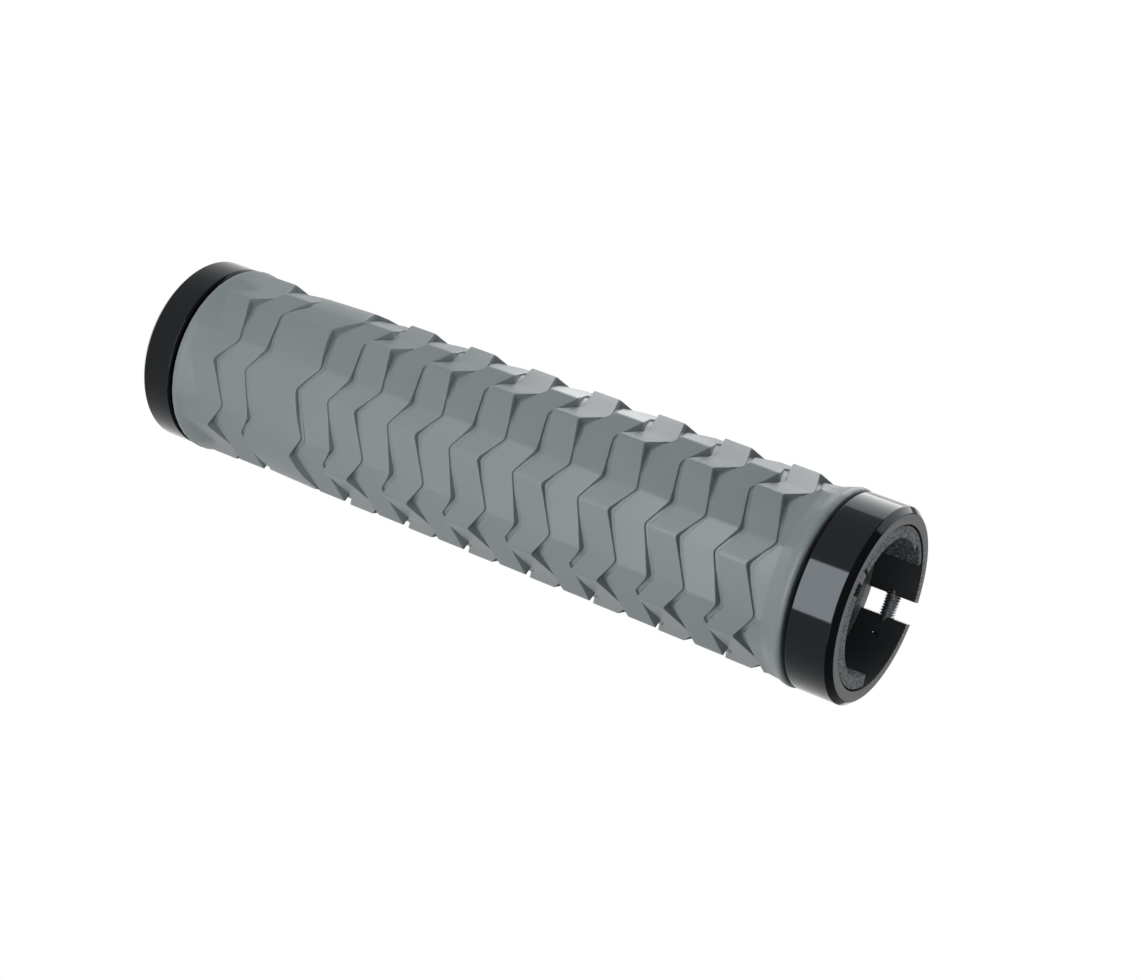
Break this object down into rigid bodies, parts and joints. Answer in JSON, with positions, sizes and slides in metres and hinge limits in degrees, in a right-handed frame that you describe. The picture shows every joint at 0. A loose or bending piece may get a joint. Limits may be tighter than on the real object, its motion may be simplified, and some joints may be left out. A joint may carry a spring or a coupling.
{
  "type": "handlebar grip",
  "caption": "Lock-on bicycle handlebar grip: faceted grey rubber over a hard sleeve, held to the bar by split black clamp rings",
  "frame": {"origin": "on the bar's axis, at the outer face of the inboard clamp ring, which is the grip's lowest point as it stands on end", "axes": "+Z along the handlebar's axis towards the bar end, -Y out of the palm side of the tread, +Y through the gaps of the clamp rings"},
  "size_m": [0.0326, 0.0324, 0.1345],
  "materials": {
    "grey_rubber": "satin",
    "dark_nylon": "matte",
    "black_anodised": "gloss",
    "bolt_steel": "satin"
  },
  "bodies": {
    "root": {"rubber_grip": "grey_rubber", "inner_sleeve": "dark_nylon", "clamp_ring_outboard": "black_anodised", "clamp_ring_inboard": "black_anodised", "clamp_bolt_outboard": "bolt_steel", "clamp_bolt_inboard": "bolt_steel"}
  },
  "joints": []
}
